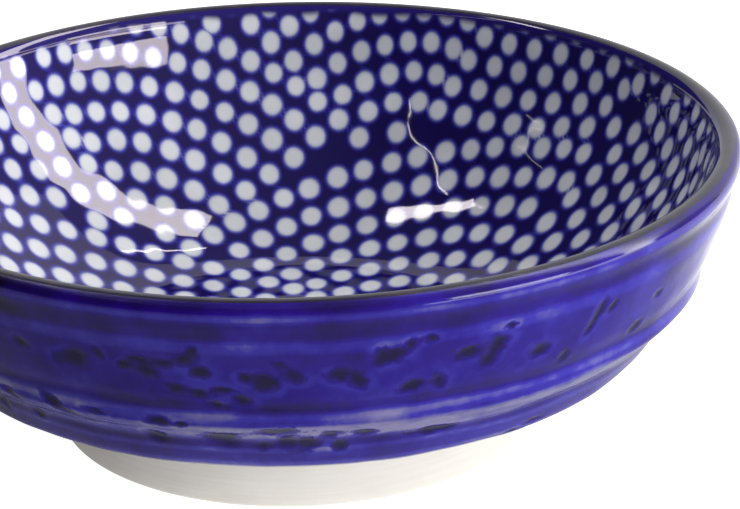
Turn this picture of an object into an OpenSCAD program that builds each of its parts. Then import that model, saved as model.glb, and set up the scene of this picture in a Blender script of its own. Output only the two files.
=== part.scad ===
// Soy sauce dish: a small footed bowl of white fired clay, cobalt glaze outside,
// a printed lining under clear glaze inside, and a dark glazed lip.
// Millimetres, +Z up, origin on the table at the middle of the foot.

/* [Overall] */
// Diameter over the lip
dish_d = 95; // [80:0.5:120]
// Height from the table to the top of the lip
dish_h = 31.7; // [28:0.1:40]
// Thickness of the rounding on top of the lip, glaze included
lip_t = 2.7; // [2:0.1:4]
// Thickness of the wall at the belly's shoulder, glaze included
wall_t = 3.1; // [2.6:0.1:5]
// Thickness of the floor of the well, glaze included
floor_t = 2.8; // [2.5:0.1:4.5]
// Diameter of the flat floor of the well
well_floor_d = 28; // [16:0.5:34]

/* [Outer wall] */
// Height of the plain band from the top of the lip to the belly's shoulder
rim_band_h = 4.7; // [4:0.1:7]
// How far the groove under the lip is cut in behind the line from lip to shoulder
rim_groove_depth = 0.3; // [0:0.05:0.5]
// How far in the shoulder stands from the widest line of the lip
shoulder_inset = 0.8; // [0.2:0.05:3]
// How far in the ledge below the belly stands from the widest line of the lip
ledge_inset = 3.6; // [2:0.1:6]
// Height of the ledge's lower edge above the root of the foot
ledge_rise = 11.1; // [9:0.1:14]
// Height of the ledge's band under the belly
ledge_band_h = 1.9; // [1:0.1:3]
// How far the belly's foot is drawn in above the ledge
ledge_groove_depth = 0.25; // [0:0.05:0.5]
// How far the lower wall is cut back under the ledge
undercut_depth = 2.6; // [1.5:0.1:4]
// Height of the undercut
undercut_h = 2.6; // [1.5:0.1:4]
// How far in the lower wall's bottom edge stands from the undercut
low_edge_inset = 2.7; // [1.5:0.1:5]
// Height of the lower wall's bottom edge above the root of the foot
low_edge_rise = 4.6; // [3.5:0.1:6]

/* [Foot] */
// Diameter of the foot at the table
foot_d = 52; // [44:0.5:60]
// Height of the foot to its root on the bowl
foot_h = 6.4; // [4:0.1:9]
// Width of the foot's standing ring
foot_t = 3.8; // [3:0.1:6]
// How much the foot widens on each face towards its root
foot_flare = 0.9; // [0.2:0.1:1.6]
// Height of the recess inside the foot, from the table to its clay ceiling
recess_h = 3.2; // [2.8:0.1:4.5]
// Radius of the foot's worn lower edges
foot_edge_r = 0.6; // [0.3:0.1:1]
// Bare clay left between the foot's root and the edge of the outer glaze
glaze_line_margin = 1.6; // [0.8:0.1:3]
// Height of the wiped bare clay on the inner face of the foot
foot_bare_h = 1.6; // [1.2:0.1:3]

/* [Glaze] */
// Thickness of the fired coat, the same all over
glaze_t = 0.4; // [0.3:0.05:0.6]
// Thickness of the printed layer under the clear glaze
print_t = 0.1; // [0.08:0.01:0.15]
// Where the dark line starts on the rounding of the lip, in degrees up from its widest line
lip_line_a = 64; // [45:1:85]
// Where the dark line ends and the printed lining starts, in degrees up from the lip's widest line
lining_line_a = 124; // [100:1:140]

/* [Hidden] */

// Roundness of the turned forms, and the points on each stretch of their outlines
$fn = 180;
span_steps = 5;
lip_steps = 7;
edge_steps = 4;

// Main radii and heights, from the lip down
rim_r = dish_d / 2;
lip_r = lip_t / 2;
lip_mid = [rim_r - lip_r, dish_h - lip_r];
// Degrees up from the lip's widest line at which its rounding starts and ends: below that line it
// meets the groove, and inside it runs on until it stands upright over the well's wall
lip_start_deg = -25;
lip_end_deg = 180;
shoulder = [rim_r - shoulder_inset, dish_h - rim_band_h];
ledge_edge = [rim_r - ledge_inset - ledge_groove_depth, foot_h + ledge_rise];
belly_foot = ledge_edge + [ledge_groove_depth, ledge_band_h];
undercut = ledge_edge - [undercut_depth, undercut_h];
low_edge = [undercut[0] - low_edge_inset, foot_h + low_edge_rise];
foot_r = foot_d / 2;
foot_root_r = foot_r + foot_flare;
foot_in_r = foot_r - foot_t;
recess_r = foot_inside_r(recess_h);
glaze_line = [foot_root_r + glaze_line_margin, foot_h + glaze_t];
well_floor = [well_floor_d / 2, recess_h + floor_t];
clear_t = glaze_t - print_t;

// Shares that shape the stretches between the main points
groove_share = 0.52;
belly_shares = [[0.33, 0.26], [0.66, 0.6]];
ledge_crest_shares = [0.75, 0.5];
low_band_shares = [0.3, 0.35];
underside_shares = [0.55, 0.5];
lip_throat_shares = [0.48, 0.54];
well_shares = [[0.953, 0.848], [0.875, 0.686], [0.7635, 0.486], [0.581, 0.262], [0.338, 0.083]];

// A point a given share of the way from one point to another, along each axis
function between(a, b, shares) = [
    a[0] + (b[0] - a[0]) * shares[0],
    a[1] + (b[1] - a[1]) * shares[1]
];

// Radius of the foot's inner face at a given height above the table
function foot_inside_r(h) = foot_in_r - foot_flare * (h - foot_edge_r) / (foot_h - foot_edge_r);

function arc(mid, r, from_a, to_a, steps) = [
    for (i = [0:steps])
        let (a = from_a + (to_a - from_a) * i / steps)
        mid + r * [cos(a), sin(a)]
];

// A smooth curve through knots: cubic spans, each knot's direction set by its two neighbours
function knot_slope(p, i) =
    let (before = p[max(i - 1, 0)], after = p[min(i + 1, len(p) - 1)])
    (after - before) / (norm(after - p[i]) + norm(p[i] - before));

function span_point(a, slope_a, b, slope_b, u) =
    let (reach = norm(b - a))
    a * (2 * u^3 - 3 * u^2 + 1) + b * (3 * u^2 - 2 * u^3)
    + reach * (slope_a * (u^3 - 2 * u^2 + u) + slope_b * (u^3 - u^2));

function curve(p) = concat(
    [
        for (i = [0:len(p) - 2], k = [0:span_steps - 1])
            span_point(p[i], knot_slope(p, i), p[i + 1], knot_slope(p, i + 1), k / span_steps)
    ],
    [p[len(p) - 1]]
);

// The glazed skin as one line: up the outside, over the lip, down the inside to the middle
lip_arc = arc(lip_mid, lip_r, lip_start_deg, lip_line_a, lip_steps);
rim_arc = arc(lip_mid, lip_r, lip_line_a, lining_line_a, lip_steps);
throat_arc = arc(lip_mid, lip_r, lining_line_a, lip_end_deg, lip_steps);
rim_groove = between(shoulder, lip_arc[0], [groove_share, groove_share]) - [rim_groove_depth, 0];
outer_knots = [
    glaze_line,
    between(glaze_line, low_edge, underside_shares),
    low_edge,
    between(undercut, low_edge, low_band_shares),
    undercut,
    ledge_edge,
    between(ledge_edge, belly_foot, ledge_crest_shares),
    belly_foot,
    for (s = belly_shares) between(belly_foot, shoulder, s),
    shoulder,
    rim_groove,
    lip_arc[0]
];
in_shoulder = shoulder - [wall_t, 0];
inner_knots = [
    throat_arc[lip_steps],
    between(in_shoulder, throat_arc[lip_steps], lip_throat_shares),
    in_shoulder,
    for (s = well_shares) between(well_floor, in_shoulder, s),
    well_floor
];

function all_but_last(p) = [for (i = [0:len(p) - 2]) p[i]];

skin_out = concat(all_but_last(curve(outer_knots)), all_but_last(lip_arc));
skin_rim = all_but_last(rim_arc);
skin_in = concat(all_but_last(throat_arc), curve(inner_knots), [[0, well_floor[1]]]);
skin = concat(skin_out, skin_rim, skin_in);
rim_first = len(skin_out);
rim_last = rim_first + len(skin_rim);
skin_last = len(skin) - 1;

// The same line moved into the clay by a given depth
function inward(i) =
    let (d = skin[min(i + 1, skin_last)] - skin[max(i - 1, 0)])
    i == skin_last ? [0, -1] : [-d[1], d[0]] / norm(d);

function sunk(depth, first, last) = [for (i = [first:last]) skin[i] + depth * inward(i)];

function backwards(p) = [for (i = [len(p) - 1:-1:0]) p[i]];

// A fired coat: the stretch of the skin between two depths
module coat(first, last, top_depth, bottom_depth)
    rotate_extrude()
        polygon(concat(
            sunk(top_depth, first, last),
            backwards(sunk(bottom_depth, first, last))
        ));

// The bowl of white clay, thrown in one piece and standing on the foot
module clay_bowl()
    color("gainsboro")
        rotate_extrude()
            polygon(concat(
                sunk(glaze_t, 0, skin_last),
                [[0, recess_h], [recess_r, recess_h], [foot_root_r, foot_h]]
            ));

// The foot: a ring of the same clay, joined to the bowl's sloping underside and turned with rounded
// lower edges
module foot_ring()
    color("whitesmoke")
        rotate_extrude()
            polygon(concat(
                arc([foot_in_r + foot_edge_r, foot_edge_r], foot_edge_r, 180, 270, edge_steps),
                arc([foot_r - foot_edge_r, foot_edge_r], foot_edge_r, 270, 360, edge_steps),
                [[foot_root_r, foot_h], [recess_r, recess_h]]
            ));

// Cobalt glaze outside, from the bare foot up over the outer half of the lip
module outer_glaze() color("midnightblue") coat(0, rim_first, 0, glaze_t);

// The dark line on the top of the lip
module rim_glaze() color([0.16, 0.14, 0.17]) coat(rim_first, rim_last, 0, glaze_t);

// The printed blue ground and its white dots, straight on the clay
module inner_print() color("navy") coat(rim_last, skin_last, clear_t, glaze_t);

// Clear glaze over the print
module clear_glaze() color("lightsteelblue") coat(rim_last, skin_last, 0, clear_t);

// Clear glaze in the recess under the bowl and on the inner face of the foot
module base_glaze() {
    bare_r = foot_inside_r(foot_bare_h);
    color("ivory")
        rotate_extrude()
            polygon([
                [0, recess_h],
                [recess_r, recess_h],
                [bare_r, foot_bare_h],
                [bare_r - glaze_t, foot_bare_h],
                [recess_r - glaze_t, recess_h - glaze_t],
                [0, recess_h - glaze_t]
            ]);
}

clay_bowl();
foot_ring();
outer_glaze();
rim_glaze();
inner_print();
clear_glaze();
base_glaze();
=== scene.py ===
# Soy sauce dish: a small footed bowl of white clay, blue outside, dotted inside and dark at the lip.
# The frame is in metres, +Z up, with its origin on the table at the middle of the foot.

import math

import bpy
import numpy as np
from mathutils import Matrix, Vector, noise


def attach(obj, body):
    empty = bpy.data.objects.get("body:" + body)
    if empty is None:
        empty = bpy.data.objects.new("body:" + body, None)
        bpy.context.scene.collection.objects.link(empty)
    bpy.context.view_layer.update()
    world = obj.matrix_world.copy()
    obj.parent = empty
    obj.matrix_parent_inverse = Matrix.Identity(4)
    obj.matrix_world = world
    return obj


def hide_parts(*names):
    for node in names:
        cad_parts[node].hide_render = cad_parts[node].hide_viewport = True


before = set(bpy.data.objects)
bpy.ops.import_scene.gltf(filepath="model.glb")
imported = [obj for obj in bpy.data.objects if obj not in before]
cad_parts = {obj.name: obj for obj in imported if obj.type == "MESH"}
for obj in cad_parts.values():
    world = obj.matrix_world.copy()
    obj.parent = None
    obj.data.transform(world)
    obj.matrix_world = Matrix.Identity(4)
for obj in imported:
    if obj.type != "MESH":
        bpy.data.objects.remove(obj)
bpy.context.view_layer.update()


# The clay bowl
# White stoneware clay, thrown on the wheel and fired once before it was glazed. The coats hide nearly all
# of it, so it stays as the CAD solid and only gets the look of the clay.

MM = 0.001
SRGB_KNEE = 0.04045


def linear(hex_colour):
    """Turns an sRGB hex colour into the linear colour that shaders take."""
    shares = [int(hex_colour[i:i + 2], 16) / 255 for i in (1, 3, 5)]
    return [c / 12.92 if c <= SRGB_KNEE else ((c + 0.055) / 1.055) ** 2.4 for c in shares] + [1.0]


def add_node(tree, kind, values=None, stops=(), **settings):
    """Adds a node with its own settings; values are numbers, colours or links for its inputs."""
    node = tree.nodes.new(kind)
    for name, value in settings.items():
        setattr(node, name, value)
    for name, value in (values or {}).items():
        if isinstance(value, bpy.types.NodeSocket):
            tree.links.new(value, node.inputs[name])
        else:
            node.inputs[name].default_value = value
    for i, (place, colour) in enumerate(stops):
        stop = node.color_ramp.elements[i] if i < 2 else node.color_ramp.elements.new(place)
        stop.position = place
        stop.color = linear(colour)
    return node


def new_finish(name):
    """Starts a material and returns it with its node tree and its Principled surface."""
    finish = bpy.data.materials.new(name)
    finish.use_nodes = True
    return finish, finish.node_tree, finish.node_tree.nodes["Principled BSDF"]


def per_mm(size):
    """The texture scale, in turns per metre, of a pattern whose features are this many mm wide."""
    return 1 / (size * MM)


# Fired stoneware: matte and chalky, off-white with faint darker clouds, and a fine grit.
CLAY_GRIT = 0.5
CLAY_CLOUD = 7.0
clay_finish, tree, surface = new_finish("fired_white_stoneware")
where = add_node(tree, "ShaderNodeTexCoord")
cloud = add_node(tree, "ShaderNodeTexNoise", {
    "Vector": where.outputs["Object"], "Scale": per_mm(CLAY_CLOUD), "Detail": 3.0})
shade = add_node(tree, "ShaderNodeValToRGB", {"Fac": cloud.outputs["Fac"]},
                 stops=((0.3, "#d9d5cd"), (0.7, "#e9e6e0")))
grit = add_node(tree, "ShaderNodeTexNoise", {
    "Vector": where.outputs["Object"], "Scale": per_mm(CLAY_GRIT), "Detail": 4.0})
tooth = add_node(tree, "ShaderNodeBump", {
    "Height": grit.outputs["Fac"], "Strength": 0.35, "Distance": 0.05 * MM})
tree.links.new(shade.outputs["Color"], surface.inputs["Base Color"])
tree.links.new(tooth.outputs["Normal"], surface.inputs["Normal"])
surface.inputs["Roughness"].default_value = 0.85
surface.inputs["Specular IOR Level"].default_value = 0.3

clay_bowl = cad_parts["clay_bowl"]
clay_bowl.data.materials.clear()
clay_bowl.data.materials.append(clay_finish)


# The foot
# A ring of the same clay, stuck on under the bowl and turned while leather-hard. It is left bare: the
# glaze stops on the bowl just outside it. Its lower edges are worn round and the turning tool's lines show.

FOOT_R = 26.0
FOOT_IN_R = 22.2
FOOT_EDGE_R = 0.6
FOOT_FLARE = ((26.3, 2.6), (26.62, 4.6))
FOOT_ROOT = (26.9, 6.3)
FOOT_FILLET = ((27.15, 6.62), (27.7, 6.82), (28.42, 6.98))
# The back of the ring, which sits in the bowl's clay
FOOT_SEAT = ((28.3, 7.4), (26.6, 6.9), (21.85, 3.6))
TURNING_LINE_GAP = 0.62
TURNING_LINE_DEPTH = 0.01
FOOT_GAP = 0.12
FILLET_GAP = 0.25
INNER_EDGE_STEPS, OUTER_EDGE_STEPS = 6, 8
FOOT_STEPS = 320
WELD = 0.002 * MM
SMOOTH_BELOW = math.radians(40)


def smooth_line(knots, gap):
    """Runs a smooth curve through knots, as points about one gap apart."""
    knots = [np.array(knot, float) for knot in knots]
    last = len(knots) - 1
    slopes = []
    for i, knot in enumerate(knots):
        before, after = knots[max(i - 1, 0)], knots[min(i + 1, last)]
        slopes.append((after - before) / (np.linalg.norm(after - knot) + np.linalg.norm(knot - before)))
    points = []
    for i in range(last):
        start, end = knots[i], knots[i + 1]
        reach = np.linalg.norm(end - start)
        steps = max(2, math.ceil(reach / gap))
        for u in np.arange(steps) / steps:
            bend = reach * (slopes[i] * (u ** 3 - 2 * u ** 2 + u) + slopes[i + 1] * (u ** 3 - u ** 2))
            points.append(start * (2 * u ** 3 - 3 * u ** 2 + 1) + end * (3 * u ** 2 - 2 * u ** 3) + bend)
    return points + [knots[last]]


def arc(mid, radius, start, end, steps):
    """Points along part of a circle, with its angles in degrees up from straight outwards."""
    angles = np.radians(np.linspace(start, end, steps + 1))
    return [np.array((mid[0] + radius * math.cos(a), mid[1] + radius * math.sin(a))) for a in angles]


def turned_piece(name, outline, steps):
    """Turns an outline of (radius, height) points, in mm, round the dish's axis into a closed piece."""
    bpy.ops.object.select_all(action="DESELECT")
    bpy.ops.mesh.primitive_plane_add(size=MM)
    piece = bpy.context.active_object
    piece.name = name
    piece.data.name = name
    bpy.ops.object.mode_set(mode="EDIT")
    bpy.ops.mesh.select_all(action="SELECT")
    bpy.ops.mesh.merge(type="CENTER")
    bpy.ops.transform.translate(value=(outline[0][0] * MM, 0, outline[0][1] * MM))
    for here, there in zip(outline, outline[1:]):
        move = ((there[0] - here[0]) * MM, 0, (there[1] - here[1]) * MM)
        bpy.ops.mesh.extrude_region_move(TRANSFORM_OT_translate={"value": move})
    bpy.ops.object.mode_set(mode="OBJECT")
    bpy.ops.object.modifier_add(type="SCREW")
    wheel = piece.modifiers[-1]
    wheel.steps = steps
    wheel.render_steps = steps
    wheel.use_merge_vertices = True
    wheel.merge_threshold = WELD
    bpy.ops.object.modifier_apply(modifier=wheel.name)
    bpy.ops.object.mode_set(mode="EDIT")
    bpy.ops.mesh.select_all(action="SELECT")
    bpy.ops.mesh.remove_doubles(threshold=WELD)
    bpy.ops.mesh.normals_make_consistent(inside=False)
    bpy.ops.object.mode_set(mode="OBJECT")
    bpy.ops.object.shade_smooth_by_angle(angle=SMOOTH_BELOW)
    return piece


foot_outside = smooth_line(((FOOT_R, FOOT_EDGE_R), *FOOT_FLARE, FOOT_ROOT), FOOT_GAP)
turning_lines = [
    (r - TURNING_LINE_DEPTH * (0.5 - 0.5 * math.cos(math.tau * z / TURNING_LINE_GAP)) ** 3, z)
    for r, z in foot_outside[1:-1]
]
foot_outline = (
    arc((FOOT_IN_R + FOOT_EDGE_R, FOOT_EDGE_R), FOOT_EDGE_R, 180, 270, INNER_EDGE_STEPS)
    + arc((FOOT_R - FOOT_EDGE_R, FOOT_EDGE_R), FOOT_EDGE_R, 270, 360, OUTER_EDGE_STEPS)
    + turning_lines
    + smooth_line((FOOT_ROOT, *FOOT_FILLET), FILLET_GAP)
    + list(FOOT_SEAT)
    + [(FOOT_IN_R, FOOT_EDGE_R)]
)
turned_foot = turned_piece("turned_foot", foot_outline, FOOT_STEPS)

# Bare turned stoneware: the bowl's clay with fine lines round it where grit dragged under the tool, a
# little darker where the foot was handled, with a fine tooth to it.
FOOT_LINE_GAP = 0.5
FOOT_LINE_SQUEEZE = (0.04, 0.04, 1.0)
FOOT_GRIT = 0.35
FOOT_STAIN = 6.0
foot_finish, tree, surface = new_finish("bare_turned_stoneware")
where = add_node(tree, "ShaderNodeTexCoord")
stain = add_node(tree, "ShaderNodeTexNoise", {
    "Vector": where.outputs["Object"], "Scale": per_mm(FOOT_STAIN), "Detail": 5.0, "Roughness": 0.6})
# Drawn out sideways, so that the noise makes lines round the foot
squeeze = add_node(tree, "ShaderNodeMapping", {
    "Vector": where.outputs["Object"], "Scale": FOOT_LINE_SQUEEZE})
lines = add_node(tree, "ShaderNodeTexNoise", {
    "Vector": squeeze.outputs["Vector"], "Scale": per_mm(FOOT_LINE_GAP), "Detail": 3.0})
both = add_node(tree, "ShaderNodeMath", {
    0: stain.outputs["Fac"], 1: lines.outputs["Fac"]}, operation="ADD")
mean = add_node(tree, "ShaderNodeMath", {0: both.outputs["Value"], 1: 0.5}, operation="MULTIPLY")
shade = add_node(tree, "ShaderNodeValToRGB", {"Fac": mean.outputs["Value"]},
                 stops=((0.36, "#e6e2d8"), (0.62, "#eeeae1")))
grit = add_node(tree, "ShaderNodeTexNoise", {
    "Vector": where.outputs["Object"], "Scale": per_mm(FOOT_GRIT), "Detail": 4.0})
rough = add_node(tree, "ShaderNodeMath", {
    0: lines.outputs["Fac"], 1: grit.outputs["Fac"]}, operation="ADD")
tooth = add_node(tree, "ShaderNodeBump", {
    "Height": rough.outputs["Value"], "Strength": 0.2, "Distance": 0.04 * MM})
tree.links.new(shade.outputs["Color"], surface.inputs["Base Color"])
tree.links.new(tooth.outputs["Normal"], surface.inputs["Normal"])
surface.inputs["Roughness"].default_value = 0.8
surface.inputs["Specular IOR Level"].default_value = 0.3

turned_foot.data.materials.append(foot_finish)
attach(turned_foot, "root")
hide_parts("foot_ring")


# The blue outside
# Cobalt glaze over the thrown wall: a groove under the lip, a belly with tool marks pressed and cut into
# it, a ledge, an undercut below that and a lower wall. The glaze is thin over edges and pools in the marks.

GLAZE_T = 0.4
LIP_MID = (46.15, 30.35)
LIP_R = 1.35
LIP_START = -25
LIP_LINE = 64
OUTER_KNOTS = (
    (28.5, 6.8), (33.92, 8.9), (38.35, 11.0), (40.24, 13.54), (41.05, 14.9), (43.65, 17.5), (43.84, 18.45),
    (43.9, 19.4), (44.82, 21.38), (45.75, 23.96), (46.7, 27.0), (46.75, 28.45), (47.37, 29.78),
)
# Tool marks on the front: degrees round from the front towards +X, height, length, width and lean of each
FRONT_MARKS = (
    (-34, 24.6, 1.5, 1.0, 0), (-27, 24.1, 2.7, 1.6, 5), (-23.5, 25.2, 1.6, 1.0, -50),
    (-20.5, 24.3, 0.9, 0.8, 0), (-18, 24.9, 1.9, 0.9, -20), (-17.5, 23.7, 1.7, 1.1, -20),
    (-15.5, 24.7, 2.0, 1.1, 0), (-13, 25.3, 2.0, 1.1, 20), (-12, 26.4, 1.3, 0.8, 70),
    (-11.5, 24.0, 1.7, 1.1, -10), (-14.5, 21.9, 1.7, 1.1, 0), (-11.5, 21.5, 1.5, 0.9, -10),
    (-9, 22.0, 1.5, 0.9, 0), (-10, 20.1, 1.6, 0.8, -20), (-6.5, 20.9, 1.5, 1.1, -35),
    (-6, 23.6, 1.3, 0.9, -20), (-4, 23.0, 2.1, 1.4, -25), (-2, 25.1, 1.6, 0.8, -15),
    (-0.5, 23.9, 1.8, 1.2, -25), (5, 23.7, 1.9, 1.2, -10), (7, 22.9, 1.7, 1.2, -30),
    (10.5, 25.4, 2.4, 1.5, 10), (13, 26.4, 1.3, 1.1, 40), (13.5, 21.4, 2.1, 1.3, 10),
    (15.5, 26.9, 1.0, 0.8, 0), (17, 21.6, 1.8, 1.0, -70), (20, 24.6, 2.2, 1.2, 15),
    (23, 23.1, 1.6, 1.3, 60), (24, 24.8, 2.1, 1.5, 35), (25.5, 26.7, 1.2, 0.6, 0),
    (30.5, 22.7, 2.2, 1.2, 0), (34.5, 21.1, 1.3, 1.2, 60), (38, 23.6, 1.0, 0.6, 30),
    (38.5, 24.8, 2.8, 0.9, 65), (41, 25.3, 1.4, 0.8, 60), (48, 20.9, 1.7, 0.9, 20),
    (51, 23.8, 1.3, 0.8, 0), (-45, 14.1, 1.1, 1.2, 0), (-39, 17.5, 1.7, 0.9, -30),
    (-38, 14.7, 1.2, 1.4, 0), (-32, 18.0, 2.7, 0.9, -35), (-30, 17.0, 1.2, 0.6, -30),
    (-27.5, 16.3, 1.3, 0.7, -10), (-26, 17.9, 1.6, 0.5, -10), (-19, 14.9, 1.5, 1.5, -15),
    (-17.5, 17.7, 1.8, 1.0, -10), (-14.5, 17.6, 0.9, 0.4, 0), (-10, 15.4, 3.2, 1.9, -5),
    (-4.5, 14.4, 1.2, 1.0, 0), (-2.5, 16.9, 3.8, 0.9, 3), (-1.5, 14.9, 1.7, 1.5, 10),
    (1, 14.6, 1.9, 1.7, 5), (4, 15.9, 2.2, 1.2, 5), (5.5, 14.0, 1.2, 1.2, 0), (8.5, 15.8, 1.9, 0.8, 0),
    (18.5, 14.8, 4.2, 0.9, 0), (32.5, 11.3, 2.0, 0.5, 0), (36, 12.1, 2.1, 0.6, 0),
)
# A mark's reach is this share of its length and width. So many reaches out from its middle its floor ends,
# its raised rim lies and it stops counting. Floor and rim end softly.
MARK_REACH = 0.6
MARK_FLOOR, MARK_SLOPE = 0.4, 0.9
MARK_RIM = (1.3, 1.6, 0.6)
MARK_FAR = 3
MARK_DEPTH = 0.13
MARK_RIM_H = 0.02
# Its edge wanders by so many reaches, in swells this many mm wide
MARK_RAGGED, MARK_RAGGED_SIZE = 0.6, 1.8
# Marks that lie close run together; a smaller number joins them over a wider gap
MARK_BLEND = 3.5
# Marks round the rest of the wall, by the same hand: ranges of height, length, width and lean
REST_MARKS = 120
REST_FROM, REST_TO = 74, 312
REST_SLIP = 2
REST_LOW_SHARE = 0.35
LOW_MARKS = ((13.8, 17.4), (1.2, 2.6), (0.9, 1.7), (-15, 15))
BELLY_MARKS = ((20.6, 26.6), (1.2, 2.6), (0.8, 1.4), (-40, 75))
# Stretches of the wall: lower and upper height, and how softly each ends
BELLY = (20.2, 26.0, 1.2)
LEDGE = (15.0, 19.2, 0.6)
LOW_WALL = (10.5, 14.0, 1.0)
# Waves that the hand left in the wall: their width and height, and the share of them on plain stretches
BELLY_WAVE, BELLY_WAVE_H = 8.0, 0.1
FINE_WAVE, FINE_WAVE_SHARE = BELLY_WAVE / 2.6, 0.4
PLAIN_WAVE_SHARE = 0.08
LEDGE_WAVE, LEDGE_WAVE_H = 9.0, 0.16
LEDGE_WAVE_SQUEEZE = (1, 1, 5)
LEAST_PRESS_SHARE = 0.002
LIP_STEPS = 12
OUTER_STEPS = 720
WALL_GAP = 0.33
UNDERSIDE_GAP = 0.9


def sunk(line, depth):
    """Moves a line that runs up the outside and down the inside into the clay by a depth."""
    line = [np.array(point, float) for point in line]
    moved = []
    for i, point in enumerate(line):
        run = line[min(i + 1, len(line) - 1)] - line[max(i - 1, 0)]
        moved.append(point + depth * np.array((-run[1], run[0])) / np.linalg.norm(run))
    return moved


def coat_outline(line, back_skip):
    """The closed outline of a fired coat: its outer line, and a coarser one under it."""
    back = sunk(line, GLAZE_T)
    kept = back[:-1:back_skip] + [back[-1]]
    return list(line) + kept[::-1] + [line[0]]


def read_points(piece):
    """The piece's points in mm, one row each."""
    flat = np.empty(len(piece.data.vertices) * 3)
    piece.data.vertices.foreach_get("co", flat)
    return flat.reshape(-1, 3) / MM


def wander(points, size, start):
    """A smooth wandering value from about -1 to 1 at each point, with swells this many mm wide."""
    return np.array([noise.noise(Vector(p) / size + Vector((start, 0, 0))) for p in points])


def press(piece, depths):
    """Moves the surface outwards by so many mm at each point, inwards where the number is below zero."""
    bpy.ops.object.select_all(action="DESELECT")
    piece.select_set(True)
    bpy.context.view_layer.objects.active = piece
    for side in [side for side in (1, -1) if (side * depths).max() > 0]:
        shares = np.clip(side * depths, 0, None)
        most = shares.max()
        group = piece.vertex_groups.new(name="pressed")
        for i in np.flatnonzero(shares > LEAST_PRESS_SHARE * most):
            group.add([int(i)], float(shares[i] / most), "REPLACE")
        bpy.ops.object.modifier_add(type="DISPLACE")
        push = piece.modifiers[-1]
        push.vertex_group = group.name
        push.mid_level = 0
        push.strength = float(side * most * MM)
        bpy.ops.object.modifier_apply(modifier=push.name)
        piece.vertex_groups.clear()


def write_value(piece, name, values):
    """Stores one number per point for the piece's material to read."""
    layer = piece.data.attributes.new(name, "FLOAT", "POINT")
    layer.data.foreach_set("value", np.asarray(values, np.float32))


def bump(values, low, high, soft):
    """1 between two values, falling smoothly to 0 over a soft stretch outside them."""
    off = np.maximum(low - values, values - high)
    share = np.clip(1 - off / soft, 0, 1)
    return share * share * (3 - 2 * share)


outer_line = smooth_line(OUTER_KNOTS, WALL_GAP)
underside = [point for point in outer_line if point[0] < OUTER_KNOTS[2][0]]
outer_line = underside[::round(UNDERSIDE_GAP / WALL_GAP)] + outer_line[len(underside):-1]
outer_line += arc(LIP_MID, LIP_R, LIP_START, LIP_LINE, LIP_STEPS)
blue_outside = turned_piece("blue_outside", coat_outline(outer_line, back_skip=8), OUTER_STEPS)

points = read_points(blue_outside)
around = np.degrees(np.arctan2(points[:, 0], -points[:, 1]))
radius = np.hypot(points[:, 0], points[:, 1])
height = points[:, 2]
line_r, line_z = np.array(outer_line).T
shown = radius > np.interp(height, line_z, line_r) - GLAZE_T / 4

draw = np.random.default_rng(41)
rest_marks = []
for place in np.linspace(REST_FROM, REST_TO, REST_MARKS):
    ranges = LOW_MARKS if draw.random() < REST_LOW_SHARE else BELLY_MARKS
    slip = draw.uniform(-REST_SLIP, REST_SLIP)
    rest_marks.append((place + slip, *[draw.uniform(*ends) for ends in ranges]))
ragged = MARK_RAGGED * wander(points, MARK_RAGGED_SIZE, start=3.0)
pressed = np.full(len(points), math.exp(-MARK_BLEND * MARK_FAR))
for place, mark_z, length, width, lean in list(FRONT_MARKS) + rest_marks:
    turn = (around - place + 180) % 360 - 180
    across = np.radians(turn) * radius
    up = height - mark_z
    lean_cos, lean_sin = math.cos(math.radians(lean)), math.sin(math.radians(lean))
    along = (across * lean_cos + up * lean_sin) / length
    aside = (up * lean_cos - across * lean_sin) / width
    off = np.hypot(along, aside) / MARK_REACH
    pressed += np.exp(-MARK_BLEND * off)
mark_off = ragged - np.log(pressed) / MARK_BLEND
marks = bump(mark_off, -math.inf, MARK_FLOOR, MARK_SLOPE)
mark_rims = bump(mark_off, *MARK_RIM) * (1 - marks)

ledge = bump(height, *LEDGE)
waved = np.clip(bump(height, *BELLY) + bump(height, *LOW_WALL), PLAIN_WAVE_SHARE, 1)
wave = wander(points, BELLY_WAVE, start=20.0) + FINE_WAVE_SHARE * wander(points, FINE_WAVE, start=31.0)
relief = BELLY_WAVE_H * wave * waved
relief += LEDGE_WAVE_H * ledge * wander(points * LEDGE_WAVE_SQUEEZE, LEDGE_WAVE, start=50.0)
relief += MARK_RIM_H * mark_rims - MARK_DEPTH * marks
press(blue_outside, np.where(shown, relief, 0))

# How deep the glaze lies, from 0 where it is thinnest to 1 where it pools, with painted shade and light
# by side added to it: its mean, and how far each of these moves it
DEPTH_MEAN = 0.5
DEPTH_BY_WAVE = 0.12
DEPTH_BY_MARK_RIM = -0.15
DEPTH_BY_STREAK = 0.22
# Painted shade and light by side, not glaze: darker on the dish's left, lighter on its right, darker again
# at the far right
LEFT_PAINTED_SHADE = 0.18
RIGHT_PAINTED_LIGHT, FAR_RIGHT_PAINTED_SHADE = -0.1, 0.2
DEPTH_AT_GLAZE_LINE = -0.6
# The glaze ends in a thin line over the foot, this wide and with this soft an edge
GLAZE_LINE_W, GLAZE_LINE_SOFT = 0.3, 0.5
# Only in patches this wide is a mark's rim thin
RIM_PATCH, RIM_PATCH_CONTRAST = 3.5, 1.5
# Streaks that the turning tool left round the ledge
STREAK = 4.0
STREAK_SQUEEZE = (0.3, 0.3, 4)
# Even bands: lower and upper height, soft edge and change of depth
EVEN_BANDS = (
    (31.1, 33.0, 0.5, 0.2), (30.0, 30.3, 0.3, -0.2), (28.0, 29.2, 0.5, 0.14), (26.6, 27.2, 0.6, -0.18),
    (19.6, 20.2, 0.4, 0.1), (11.0, 11.6, 0.4, -0.18),
)
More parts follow.
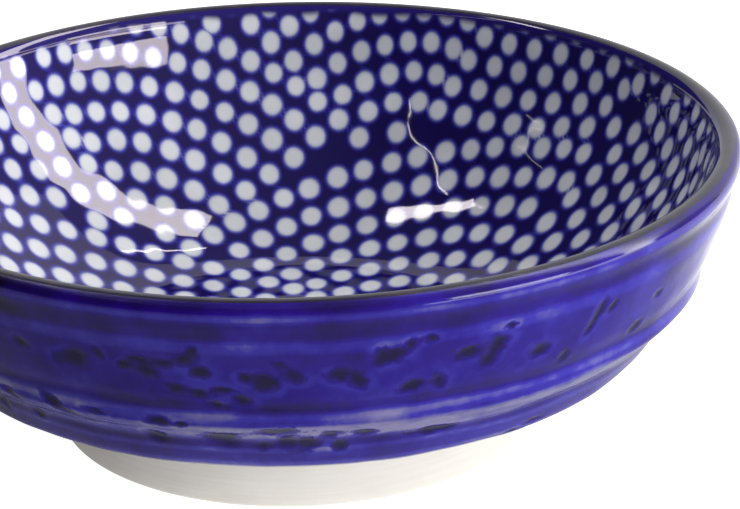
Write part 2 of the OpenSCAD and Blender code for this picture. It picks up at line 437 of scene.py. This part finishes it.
# Bands by the ledge, which sway up and down: the same, and the painted shade that the left and the right add
# to the change
SWAY, SWAY_SIZE = 0.4, 12.0
SWAY_SQUEEZE = (1, 1, 0.3)
# The wide band from 15.6 to 17.3 mm lies on the undercut. It is partly thin glaze at the ledge's edge and
# partly a painted reflection, lighter in the middle and on the right than on the left
SWAYING_BANDS = (
    (18.4, 18.7, 0.7, -0.44, 0, 0.18), (15.6, 17.3, 0.9, -0.5, 0.44, 0.14), (14.2, 15.0, 0.5, 0.1, 0, 0),
    (13.4, 13.7, 0.4, -0.16, 0, 0),
)
patches = np.clip(0.5 + RIM_PATCH_CONTRAST * wander(points, RIM_PATCH, start=70.0), 0, 1)
level = height + SWAY * wander(points * SWAY_SQUEEZE, SWAY_SIZE, start=80.0)
streaks = ledge * wander(points * STREAK_SQUEEZE, STREAK, start=90.0)
# How far each point lies towards the dish's left or right, for the painted shade and light by side
left = np.clip(-np.sin(np.radians(around)), 0, 1)
right = np.clip(np.sin(np.radians(around)), 0, 1)
glaze_line = bump(radius, 0, OUTER_KNOTS[0][0] + GLAZE_LINE_W, GLAZE_LINE_SOFT)
depth = DEPTH_MEAN + DEPTH_BY_WAVE * wave + DEPTH_BY_STREAK * streaks
depth += DEPTH_BY_MARK_RIM * mark_rims * patches + DEPTH_AT_GLAZE_LINE * glaze_line
# Painted shade on the left and at the far right, painted light on the right
depth += LEFT_PAINTED_SHADE * left + RIGHT_PAINTED_LIGHT * right + FAR_RIGHT_PAINTED_SHADE * right ** 3
for low, high, soft, change in EVEN_BANDS:
    depth += change * bump(height, low, high, soft)
# The left and right shares add painted shade to these bands
for low, high, soft, change, shade_on_left, shade_on_right in SWAYING_BANDS:
    depth += (change + shade_on_left * left + shade_on_right * right) * bump(level, low, high, soft)
write_value(blue_outside, "glaze_depth_with_painted_light_and_shade", np.clip(depth, 0, 1))
write_value(blue_outside, "mark_off", mark_off)

# Cobalt glaze: glassy and smooth, deep violet-blue, near black where it pools and milky blue where it is
# thin, with soft clouds in it and a faint orange-peel on the gloss.
GLAZE_CLOUD, GLAZE_CLOUD_DRIFT = 5.0, 0.14
GLAZE_PEEL = 1.4
MARK_GRAIN, MARK_GRAIN_SHIFT = 0.8, 0.32
# The glaze starts to pool so many reaches out from a mark's middle, and is a full pool nearer in
POOL_FROM, POOL_TO = 1.4, 0.4
POOL_DEPTH = 0.87
DULL_FROM, DULL_TO = 30.9, 31.3
GLOSSY, DULL = 0.08, 0.3
# Nearly all of a noise texture's values lie between these
NOISE_LOW, NOISE_HIGH = 0.3, 0.7
cobalt_finish, tree, surface = new_finish("cobalt_glaze")
where = add_node(tree, "ShaderNodeTexCoord")
# The depth read here also holds painted shade on the dish's left and painted light on its right
pooled = add_node(tree, "ShaderNodeAttribute", attribute_name="glaze_depth_with_painted_light_and_shade")
cloud = add_node(tree, "ShaderNodeTexNoise", {
    "Vector": where.outputs["Object"], "Scale": per_mm(GLAZE_CLOUD), "Detail": 4.0, "Roughness": 0.6})
drift = add_node(tree, "ShaderNodeMapRange", {
    "Value": cloud.outputs["Fac"], "From Min": NOISE_LOW, "From Max": NOISE_HIGH,
    "To Min": -GLAZE_CLOUD_DRIFT, "To Max": GLAZE_CLOUD_DRIFT})
laid = add_node(tree, "ShaderNodeMath", {
    0: pooled.outputs["Fac"], 1: drift.outputs["Result"]}, operation="ADD")
# The marks' ragged edges: a fine grain shifts the line where the glaze starts to pool
mark = add_node(tree, "ShaderNodeAttribute", attribute_name="mark_off")
grain = add_node(tree, "ShaderNodeTexNoise", {
    "Vector": where.outputs["Object"], "Scale": per_mm(MARK_GRAIN), "Detail": 3.0, "Roughness": 0.6})
shift = add_node(tree, "ShaderNodeMapRange", {
    "Value": grain.outputs["Fac"], "From Min": NOISE_LOW, "From Max": NOISE_HIGH,
    "To Min": -MARK_GRAIN_SHIFT, "To Max": MARK_GRAIN_SHIFT})
edge = add_node(tree, "ShaderNodeMath", {
    0: mark.outputs["Fac"], 1: shift.outputs["Result"]}, operation="ADD")
pool = add_node(tree, "ShaderNodeMapRange", {
    "Value": edge.outputs["Value"], "From Min": POOL_TO, "From Max": POOL_FROM,
    "To Min": 1.0, "To Max": 0.0})
deep = add_node(tree, "ShaderNodeMix", {
    0: pool.outputs["Result"], 2: laid.outputs["Value"], 3: POOL_DEPTH})
shade = add_node(tree, "ShaderNodeValToRGB", {"Fac": deep.outputs[0]}, stops=(
    (0.02, "#928bc0"), (0.12, "#746eb6"), (0.28, "#3c32b4"), (0.5, "#2b0e95"), (0.72, "#20076a"),
    (0.95, "#110424")))
peel = add_node(tree, "ShaderNodeTexNoise", {
    "Vector": where.outputs["Object"], "Scale": per_mm(GLAZE_PEEL), "Detail": 1.0})
skin = add_node(tree, "ShaderNodeBump", {
    "Height": peel.outputs["Fac"], "Strength": 0.15, "Distance": 0.03 * MM})
tree.links.new(shade.outputs["Color"], surface.inputs["Base Color"])
tree.links.new(skin.outputs["Normal"], surface.inputs["Normal"])
# Smooth all over, duller where it meets the dark line on the lip
place = add_node(tree, "ShaderNodeSeparateXYZ", {"Vector": where.outputs["Object"]})
dull = add_node(tree, "ShaderNodeMapRange", {
    "Value": place.outputs["Z"], "From Min": DULL_FROM * MM, "From Max": DULL_TO * MM,
    "To Min": GLOSSY, "To Max": DULL})
tree.links.new(dull.outputs["Result"], surface.inputs["Roughness"])
surface.inputs["IOR"].default_value = 1.45

blue_outside.data.materials.append(cobalt_finish)
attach(blue_outside, "root")
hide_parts("outer_glaze")


# The dotted lining
# A blue ground printed straight on the clay, with round white spots left in it, and clear glaze melted
# over it. The spots lie in rings that spread like fans, each fan laid over the ones behind it, a
# traditional layout. The print and its clear glaze are one piece here: the gloss is the glaze's own.

LINING_LINE = 124
LIP_END = 180
LINING_KNOTS = (
    (44.8, 30.35), (44.18, 28.81), (43.6, 27.0), (42.21, 23.81), (39.9, 20.41), (36.6, 16.21), (31.2, 11.5),
    (24.0, 7.74), (14.0, 6.0),
)
WELL_FLOOR_Z = 6.0
# One fan's place on the print laid flat, and the steps from a fan to the next ones behind and beside it
FAN_AT = np.array((-14.9, 17.4))
FAN_UP = np.array((1.1, 26.2))
FAN_SIDE = np.array((26.7, 11.6))
FAN_COLUMNS, FAN_ROWS = range(-4, 5), range(-5, 6)
FAN_REACH = 95
FAN_RINGS = 9
FIRST_RING_R = 3.15
RING_GAP = 3.28
SPOT_GAP = 3.18
# Each ring starts this share of a gap round from the fan's own line
RING_START_SHARE = 0.25
SPOT_R, SPOT_SPREAD = 1.15, 0.05
SPOT_H, SPOT_EDGE = 0.012, 1.3
SPOT_SLIP = 0.1
LEAST_GAP = 2.3
NO_SPOT = 9.0
LEAST_R = 0.001
# The dark glaze runs over the edge of the print so far down from its line on the lip. It fades over the
# last part, and its edge sways in swells this many mm wide.
VEIL = 1.45
VEIL_FADE = 0.9
VEIL_SWAY, VEIL_SWAY_SIZE = 0.4, 5.0
# The print was drawn out along the wall by this share, fully from so far out from the middle
PRINT_STRETCH = 0.11
STRETCH_FROM = 45
LINING_STEPS = 600
LINING_GAP = 0.42
LINING_BACK_SKIP = 10
THROAT_STEPS = 6

floor_r = np.arange(LINING_KNOTS[-1][0], 0, -LINING_GAP)[1:]
lining_line = arc(LIP_MID, LIP_R, LINING_LINE, LIP_END, THROAT_STEPS)[:-1]
lining_line += smooth_line(LINING_KNOTS, LINING_GAP)
lining_line += [np.array((r, WELL_FLOOR_Z)) for r in floor_r] + [np.array((0, WELL_FLOOR_Z))]
lining_back = sunk(lining_line, GLAZE_T)
lining_back[-1] = np.array((0, WELL_FLOOR_Z - GLAZE_T))
lining_outline = lining_line[::-1] + lining_back[:-1:LINING_BACK_SKIP] + [lining_back[-1]]
dotted_lining = turned_piece("dotted_lining", lining_outline, LINING_STEPS)

# The spots are laid out on the lining as if it were rolled out flat from its middle
fans = [FAN_AT + i * FAN_SIDE + j * FAN_UP for i in FAN_COLUMNS for j in FAN_ROWS]
fans = [fan for fan in fans if np.hypot(*fan) < FAN_REACH]
fans.sort(key=lambda fan: fan @ FAN_UP)
fan_edge = FIRST_RING_R + RING_GAP * (FAN_RINGS - 0.5)
draw = np.random.default_rng(17)
spots = np.empty((0, 3))
for i, fan in enumerate(fans):
    over = np.array(fans[:i]).reshape(-1, 2)
    for ring in range(FAN_RINGS):
        ring_r = FIRST_RING_R + RING_GAP * ring
        count = round(math.tau * ring_r / SPOT_GAP)
        for turn in math.tau * (np.arange(count) + RING_START_SHARE) / count:
            spot = fan + ring_r * np.array((math.sin(turn), math.cos(turn)))
            spot = spot + draw.uniform(-SPOT_SLIP, SPOT_SLIP, 2)
            clear = (np.hypot(*(over - spot).T) > fan_edge).all()
            if clear and (np.hypot(*(spots[:, :2] - spot).T) > LEAST_GAP).all():
                spot_r = SPOT_R * draw.uniform(1 - SPOT_SPREAD, 1 + SPOT_SPREAD)
                spots = np.vstack((spots, (*spot, spot_r)))

points = read_points(dotted_lining)
radius = np.hypot(points[:, 0], points[:, 1])
line = np.array(lining_line)
run = np.concatenate(([0], np.cumsum(np.hypot(*np.diff(line, axis=0).T))))
run = run[-1] - run
reach = np.empty(len(points))
shown = np.empty(len(points), bool)
for i, point in enumerate(np.stack((radius, points[:, 2]), axis=1)):
    off = np.hypot(*(line - point).T)
    nearest = off.argmin()
    reach[i] = run[nearest]
    shown[i] = off[nearest] < GLAZE_T / 2
down = run[0] - reach + VEIL_SWAY * wander(points, VEIL_SWAY_SIZE, start=60.0)
veil = bump(down, -math.inf, VEIL - VEIL_FADE, VEIL_FADE)
share = np.clip(reach / STRETCH_FROM, 0, 1)
reach *= 1 - PRINT_STRETCH * share * share * (3 - 2 * share)
spread = reach / np.maximum(radius, LEAST_R)
flat_x, flat_y = points[:, 0] * spread, points[:, 1] * spread
spot_share = np.full(len(points), NO_SPOT)
for x, y, r in spots:
    spot_share = np.minimum(spot_share, np.hypot(flat_x - x, flat_y - y) / r)
raised = SPOT_H * bump(spot_share, 0, 0, SPOT_EDGE) * (1 - veil)
press(dotted_lining, np.where(shown, raised, 0))
write_value(dotted_lining, "spot_share", spot_share)
write_value(dotted_lining, "lip_veil", veil)

# Printed blue under clear glaze: white spots whose blue edge has bled in the fire, an ink-blue ground that
# varies a little in strength, all under a smooth, mirror-bright glaze.
INK_CLOUD, INK_WEAKEST = 9.0, 0.82
BLEED, BLEED_SHIFT = 1.5, 0.03
print_finish, tree, surface = new_finish("cobalt_print_under_clear_glaze")
where = add_node(tree, "ShaderNodeTexCoord")
spot = add_node(tree, "ShaderNodeAttribute", attribute_name="spot_share")
bleed = add_node(tree, "ShaderNodeTexNoise", {
    "Vector": where.outputs["Object"], "Scale": per_mm(BLEED), "Detail": 2.0})
uneven = add_node(tree, "ShaderNodeMapRange", {
    "Value": bleed.outputs["Fac"], "From Min": NOISE_LOW, "From Max": NOISE_HIGH,
    "To Min": -BLEED_SHIFT, "To Max": BLEED_SHIFT})
edge = add_node(tree, "ShaderNodeMath", {
    0: spot.outputs["Fac"], 1: uneven.outputs["Result"]}, operation="ADD")
half = add_node(tree, "ShaderNodeMath", {0: edge.outputs["Value"], 1: 0.5}, operation="MULTIPLY")
spot_shade = add_node(tree, "ShaderNodeValToRGB", {"Fac": half.outputs["Value"]}, stops=(
    (0.3, "#e4e5e8"), (0.42, "#cfd2e0"), (0.53, "#6264b2"), (0.6, "#302a94"), (0.7, "#1a0f58")))
veil = add_node(tree, "ShaderNodeAttribute", attribute_name="lip_veil")
veiled = add_node(tree, "ShaderNodeMix", {
    0: veil.outputs["Fac"], 6: spot_shade.outputs["Color"], 7: linear("#22176c")}, data_type="RGBA")
cloud = add_node(tree, "ShaderNodeTexNoise", {
    "Vector": where.outputs["Object"], "Scale": per_mm(INK_CLOUD), "Detail": 4.0})
ink = add_node(tree, "ShaderNodeMapRange", {
    "Value": cloud.outputs["Fac"], "From Min": NOISE_LOW, "From Max": NOISE_HIGH,
    "To Min": INK_WEAKEST, "To Max": 1.0})
toned = add_node(tree, "ShaderNodeMix", {
    0: 1.0, 6: veiled.outputs[2], 7: ink.outputs["Result"]}, data_type="RGBA", blend_type="MULTIPLY")
tree.links.new(toned.outputs[2], surface.inputs["Base Color"])
surface.inputs["Roughness"].default_value = 0.04
surface.inputs["IOR"].default_value = 1.55
surface.inputs["Specular Tint"].default_value = linear("#fff3f3")

dotted_lining.data.materials.append(print_finish)
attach(dotted_lining, "root")
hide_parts("inner_print", "clear_glaze")


# The lip
# A line of dark glaze brushed round the top of the lip, between the ends of the other coats and fired on
# with them.

lip_line = arc(LIP_MID, LIP_R, LIP_LINE, LINING_LINE, LIP_STEPS)
dark_lip = turned_piece("dark_lip", coat_outline(lip_line, back_skip=4), OUTER_STEPS)

# Dark glaze: glassy, blue-black, browner in patches where it has run thin.
LIP_CLOUD = 4.0
lip_finish, tree, surface = new_finish("dark_lip_glaze")
where = add_node(tree, "ShaderNodeTexCoord")
cloud = add_node(tree, "ShaderNodeTexNoise", {
    "Vector": where.outputs["Object"], "Scale": per_mm(LIP_CLOUD), "Detail": 4.0, "Roughness": 0.6})
shade = add_node(tree, "ShaderNodeValToRGB", {"Fac": cloud.outputs["Fac"]}, stops=(
    (0.35, "#1b1730"), (0.55, "#262038"), (0.7, "#382e34")))
peel = add_node(tree, "ShaderNodeTexNoise", {
    "Vector": where.outputs["Object"], "Scale": per_mm(GLAZE_PEEL), "Detail": 1.0})
skin = add_node(tree, "ShaderNodeBump", {
    "Height": peel.outputs["Fac"], "Strength": 0.15, "Distance": 0.03 * MM})
tree.links.new(shade.outputs["Color"], surface.inputs["Base Color"])
tree.links.new(skin.outputs["Normal"], surface.inputs["Normal"])
surface.inputs["Roughness"].default_value = 0.22
surface.inputs["IOR"].default_value = 1.5

dark_lip.data.materials.append(lip_finish)
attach(dark_lip, "root")
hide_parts("rim_glaze")


# The glaze under the base
# Clear glaze in the recess inside the foot and down its inner face, wiped off the standing edge so that
# the foot doesn't stick in the kiln.

BASE_FACE_Z = 2.8
BARE_EDGE = (22.05, 1.6)
BASE_FACE_KNOTS = (
    (0, BASE_FACE_Z), (18.0, BASE_FACE_Z), (20.6, 2.72), (21.35, 2.3), (21.7, 1.72), BARE_EDGE,
)
# The back of the coat, sunk a little into the clay
BASE_BACK = ((22.15, 1.9), (21.88, 3.3), (0, 3.3))
BASE_GAP = 0.5
BASE_STEPS = 240

base_outline = smooth_line(BASE_FACE_KNOTS, BASE_GAP) + list(BASE_BACK)
base_coat = turned_piece("base_coat", base_outline, BASE_STEPS)

# Clear glaze on white clay: glassy, a little grey-green where it is thick.
base_finish, tree, surface = new_finish("clear_glaze_on_white_clay")
where = add_node(tree, "ShaderNodeTexCoord")
cloud = add_node(tree, "ShaderNodeTexNoise", {
    "Vector": where.outputs["Object"], "Scale": per_mm(CLAY_CLOUD), "Detail": 4.0})
shade = add_node(tree, "ShaderNodeValToRGB", {"Fac": cloud.outputs["Fac"]},
                 stops=((0.35, "#d3d8d6"), (0.7, "#e3e6e4")))
skin = add_node(tree, "ShaderNodeBump", {
    "Height": cloud.outputs["Fac"], "Strength": 0.2, "Distance": 0.2 * MM})
tree.links.new(shade.outputs["Color"], surface.inputs["Base Color"])
tree.links.new(skin.outputs["Normal"], surface.inputs["Normal"])
surface.inputs["Roughness"].default_value = 0.1
surface.inputs["IOR"].default_value = 1.5

base_coat.data.materials.append(base_finish)
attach(base_coat, "root")
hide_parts("base_glaze")


# The floor
# A plain pale studio floor, lit so that it is white to the eye all round. A softly lit pane under the foot
# lightens the dish from below.

FLOOR_SIZE = 6.0
FLOOR_GLOW = 0.94
# Its mirror image turns white over this stretch, along a line that slants back to the left
GLOW_FROM, GLOW_TO = 0.01, 0.08
GLOW_SLANT = 0.5
# The lit pane under the dish: how bright it is on the left and in the middle, which share of that is left
# on the right, between which places across it changes, and how far out it fades
PANE_LEFT, PANE_MIDDLE, PANE_RIGHT_SHARE = 0.04, 0.86, 0.35
PANE_RISE_FROM, PANE_RISE_TO = -0.04, -0.01
PANE_FALL_FROM, PANE_FALL_TO = 0.0, 0.03
PANE_FADE_FROM, PANE_FADE_TO = 0.04, 0.054
PANE_MIRRORED_SHARE = 0.25
bpy.ops.object.select_all(action="DESELECT")
bpy.ops.mesh.primitive_plane_add(size=FLOOR_SIZE)
studio_floor = bpy.context.active_object
studio_floor.name = "studio_floor"

floor_finish, tree, surface = new_finish("white_studio_floor")
surface.inputs["Base Color"].default_value = linear("#b8b8b8")
surface.inputs["Roughness"].default_value = 0.9
surface.inputs["Emission Color"].default_value = linear("#ffffff")
# Seen directly it is white all round; in the gloss of the glaze it is white only behind the dish
path = add_node(tree, "ShaderNodeLightPath")
mirrored = add_node(tree, "ShaderNodeMath", {
    0: path.outputs["Is Glossy Ray"], 1: path.outputs["Is Transmission Ray"]}, operation="MAXIMUM")
where = add_node(tree, "ShaderNodeTexCoord")
place = add_node(tree, "ShaderNodeSeparateXYZ", {"Vector": where.outputs["Object"]})
far = add_node(tree, "ShaderNodeMath", {
    0: place.outputs["X"], 1: GLOW_SLANT, 2: place.outputs["Y"]}, operation="MULTIPLY_ADD")
behind = add_node(tree, "ShaderNodeMapRange", {
    "Value": far.outputs["Value"], "From Min": GLOW_FROM, "From Max": GLOW_TO},
    interpolation_type="SMOOTHSTEP")
shared = add_node(tree, "ShaderNodeMath", {
    0: mirrored.outputs["Value"], 1: behind.outputs["Result"]}, operation="MULTIPLY")
seen = add_node(tree, "ShaderNodeMath", {
    0: path.outputs["Is Camera Ray"], 1: shared.outputs["Value"]}, operation="MAXIMUM")
white = add_node(tree, "ShaderNodeMath", {0: seen.outputs["Value"], 1: FLOOR_GLOW}, operation="MULTIPLY")
# The pane, which the gloss shows dimmed
rise = add_node(tree, "ShaderNodeMapRange", {
    "Value": place.outputs["X"], "From Min": PANE_RISE_FROM, "From Max": PANE_RISE_TO,
    "To Min": PANE_LEFT, "To Max": PANE_MIDDLE})
fall = add_node(tree, "ShaderNodeMapRange", {
    "Value": place.outputs["X"], "From Min": PANE_FALL_FROM, "From Max": PANE_FALL_TO,
    "To Min": 1.0, "To Max": PANE_RIGHT_SHARE})
across = add_node(tree, "ShaderNodeMath", {
    0: rise.outputs["Result"], 1: fall.outputs["Result"]}, operation="MULTIPLY")
out = add_node(tree, "ShaderNodeVectorMath", {0: where.outputs["Object"]}, operation="LENGTH")
under = add_node(tree, "ShaderNodeMapRange", {
    "Value": out.outputs["Value"], "From Min": PANE_FADE_FROM, "From Max": PANE_FADE_TO,
    "To Min": 1.0, "To Max": 0.0}, interpolation_type="SMOOTHSTEP")
lit = add_node(tree, "ShaderNodeMath", {
    0: under.outputs["Result"], 1: across.outputs["Value"]}, operation="MULTIPLY")
dim = add_node(tree, "ShaderNodeMapRange", {
    "Value": path.outputs["Is Glossy Ray"], "To Min": 1.0, "To Max": PANE_MIRRORED_SHARE})
pane = add_node(tree, "ShaderNodeMath", {
    0: lit.outputs["Value"], 1: dim.outputs["Result"]}, operation="MULTIPLY")
glow = add_node(tree, "ShaderNodeMath", {
    0: white.outputs["Value"], 1: pane.outputs["Value"]}, operation="MAXIMUM")
floor_finish.cycles.emission_sampling = "NONE"
tree.links.new(glow.outputs["Value"], surface.inputs["Emission Strength"])
studio_floor.data.materials.append(floor_finish)


# The light
# A long strip leans over from the right and a short one from the left, two boxes stand at the front right
# and two white panels behind. Three thin tubes draw the fine lines in the gloss, and two soft fills lighten
# the well. The room is a soft grey on the right and dark on the left.

AIM = Vector((0, 0, 0.02))
# Each light's name, direction from the dish, the way its long side runs, distance, length, width, radiance
LIGHTS = (
    ("right_strip", (0.743, 0.115, 0.648), (-0.689, 0.241, 0.686), 0.6, 0.84, 0.115, 10),
    ("left_strip", (-0.407, 0.23, 0.885), (-0.892, 0.11, -0.439), 0.6, 0.185, 0.04, 13),
    ("front_box", (0.749, -0.585, 0.29), (0.658, 0.75, -0.2), 0.8, 0.42, 0.16, 10),
    ("low_box", (0.88, -0.47, 0.08), (0.47, 0.88, 0), 0.8, 1.0, 0.12, 5),
    ("back_panel", (0.3, 1, 0.5), (1, -0.3, 0), 1.3, 2.2, 1.4, 0.72),
    ("back_low_panel", (-0.574, 0.819, 0.06), (0.819, 0.574, 0), 1.3, 0.6, 0.2, 0.8),
    ("tube_left", (-0.505, -0.142, 0.85), (0, 0.283, 0.05), 0.6, 0.33, 0.004, 14),
    ("tube_back", (0.288, 0.442, 0.85), (-0.125, -0.015, 0.05), 0.6, 0.135, 0.006, 18),
    ("tube_low", (-0.785, 0.14, 0.605), (0.03, 0.24, -0.035), 0.6, 0.145, 0.003, 4),
)
# The fills, which are kept out of the gloss
FILLS = (
    ("left_fill", (-0.6, 0.45, 0.66), (0, 0, 1), 0.8, 0.3, 0.3, 2.8),
    ("top_fill", (0, -0.5, 0.87), (1, 0, 0), 0.8, 0.3, 0.3, 2.5),
)
# The room's light on each side, and where it changes, from -1 at the far left to 1 at the far right
ROOM_LEFT, ROOM_RIGHT = 0.035, 0.4
ROOM_FROM, ROOM_TO = -0.5, 0.9


def light_box(name, direction, along, distance, length, width, radiance):
    """Hangs a rectangular light in a direction from the dish, with its long side along a given way."""
    back = Vector(direction).normalized()
    side = Vector(along)
    side = (side - back * side.dot(back)).normalized()
    lamp = bpy.data.lights.new(name, "AREA")
    lamp.shape = "RECTANGLE"
    lamp.size = length
    lamp.size_y = width
    lamp.energy = radiance * length * width * math.pi
    holder = bpy.data.objects.new(name, lamp)
    bpy.context.scene.collection.objects.link(holder)
    turn = Matrix((side, back.cross(side), back)).transposed().to_4x4()
    holder.matrix_world = Matrix.Translation(AIM + back * distance) @ turn
    return holder


for light in LIGHTS:
    light_box(*light)
for fill in FILLS:
    light_box(*fill).visible_glossy = False

world = bpy.data.worlds.new("studio_room")
world.use_nodes = True
tree = world.node_tree
where = add_node(tree, "ShaderNodeTexCoord")
place = add_node(tree, "ShaderNodeSeparateXYZ", {"Vector": where.outputs["Generated"]})
room = add_node(tree, "ShaderNodeMapRange", {
    "Value": place.outputs["X"], "From Min": ROOM_FROM, "From Max": ROOM_TO,
    "To Min": ROOM_LEFT, "To Max": ROOM_RIGHT})
tree.nodes["Background"].inputs["Color"].default_value = linear("#ffffff")
tree.links.new(room.outputs["Result"], tree.nodes["Background"].inputs["Strength"])
bpy.context.scene.world = world


# The camera
# It looks down at the dish from the front, about 30 cm away and 13 cm up, with a long lens, so that the dish
# fills the picture.

CAMERA_AT = Vector((0, -273.375, 128.067)) * MM
YAW, PITCH, ROLL = 1.727, 22.092, -0.984
LENS = 132.9
lens = bpy.data.cameras.new("camera")
lens.lens = LENS
camera = bpy.data.objects.new("camera", lens)
bpy.context.scene.collection.objects.link(camera)
camera.matrix_world = (
    Matrix.Translation(CAMERA_AT)
    @ Matrix.Rotation(math.radians(-YAW), 4, "Z")
    @ Matrix.Rotation(math.radians(90 - PITCH), 4, "X")
    @ Matrix.Rotation(math.radians(ROLL), 4, "Z")
)
bpy.context.scene.camera = camera
bpy.context.scene.view_settings.view_transform = "Standard"
